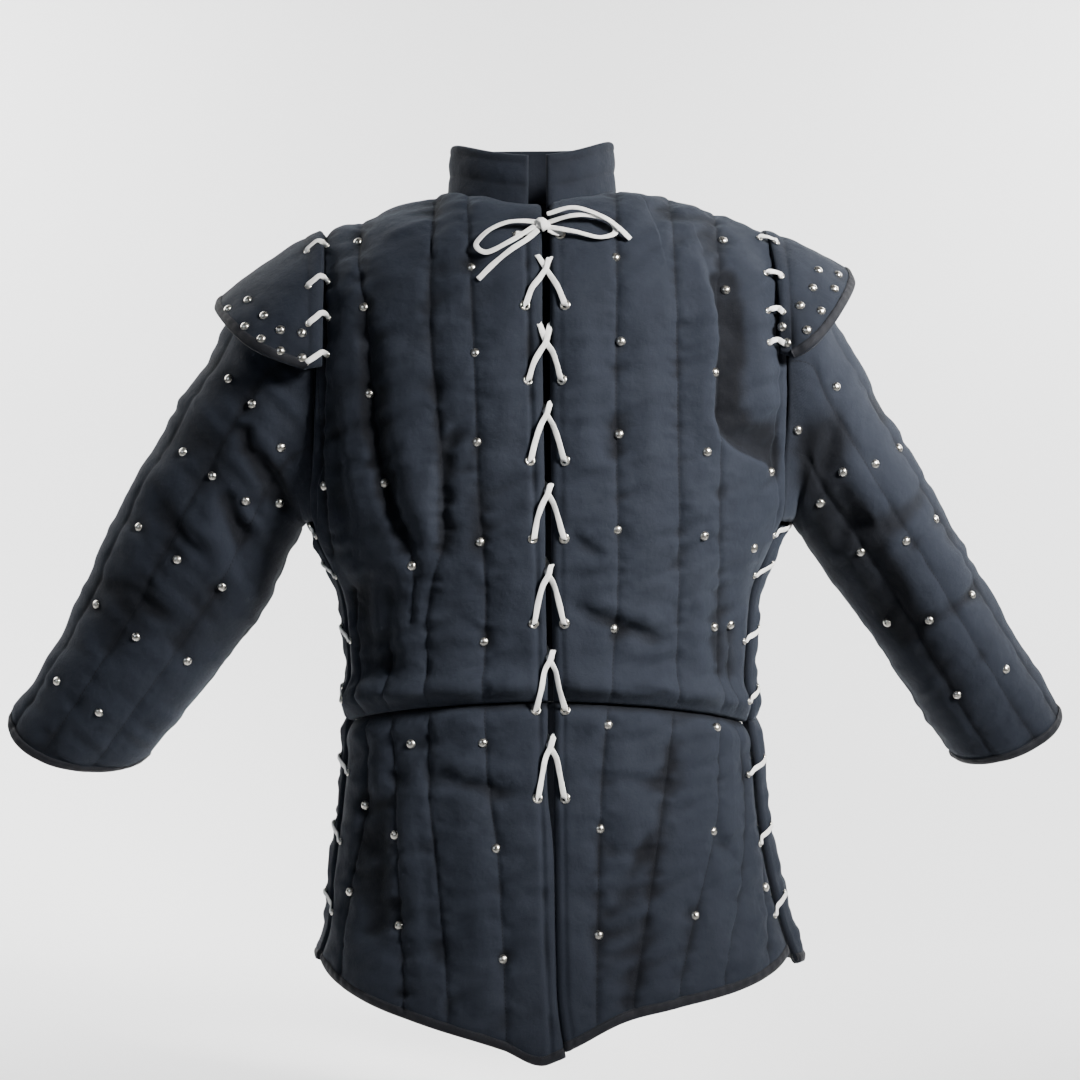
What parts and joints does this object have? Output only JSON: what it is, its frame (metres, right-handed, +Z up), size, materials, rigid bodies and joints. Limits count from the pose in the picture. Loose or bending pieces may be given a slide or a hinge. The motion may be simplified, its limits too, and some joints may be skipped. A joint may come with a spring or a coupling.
{
  "type": "gambeson",
  "caption": "Padded black gambeson in its worn shape, with white lacing at the front, sides and shoulders, a stand collar and shoulder wings.",
  "frame": {"origin": "middle of the neck base, between the shoulders, where the coat is held up when worn", "axes": "+X towards the sleeve on the viewer's right, -Y towards the laced front, +Z up"},
  "size_m": [1.1299, 0.3422, 0.9152],
  "materials": {
    "padded_cloth": "matt woven canvas, quilted over batting",
    "binding_cloth": "matt folded tape",
    "lace_cotton": "matt woven cotton",
    "nickel": "polished nickel"
  },
  "bodies": {
    "root": {"fore_body_left": "padded_cloth", "fore_body_right": "padded_cloth", "fore_skirt_left": "padded_cloth", "fore_skirt_right": "padded_cloth", "back_body": "padded_cloth", "back_skirt": "padded_cloth", "collar": "padded_cloth", "sleeve_left": "padded_cloth", "sleeve_right": "padded_cloth", "wing_left": "padded_cloth", "wing_right": "padded_cloth", "hem_binding_left": "binding_cloth", "hem_binding_right": "binding_cloth", "hem_binding_back": "binding_cloth", "cuff_binding_left": "binding_cloth", "cuff_binding_right": "binding_cloth", "wing_binding_left": "binding_cloth", "wing_binding_right": "binding_cloth", "front_lace_left": "lace_cotton", "front_lace_right": "lace_cotton", "side_lace_left": "lace_cotton", "side_lace_right": "lace_cotton", "shoulder_lace_left": "lace_cotton", "shoulder_lace_right": "lace_cotton", "bow_loop_left": "lace_cotton", "bow_loop_right": "lace_cotton", "bow_tail_left": "lace_cotton", "bow_tail_right": "lace_cotton", "bow_knot": "lace_cotton", "eyelet_left_1": "nickel", "eyelet_left_2": "nickel", "eyelet_left_3": "nickel", "eyelet_left_4": "nickel", "eyelet_left_5": "nickel", "eyelet_left_6": "nickel", "eyelet_left_7": "nickel", "eyelet_left_8": "nickel", "eyelet_right_1": "nickel", "eyelet_right_2": "nickel", "eyelet_right_3": "nickel", "eyelet_right_4": "nickel", "eyelet_right_5": "nickel", "eyelet_right_6": "nickel", "eyelet_right_7": "nickel", "eyelet_right_8": "nickel"}
  },
  "joints": []
}
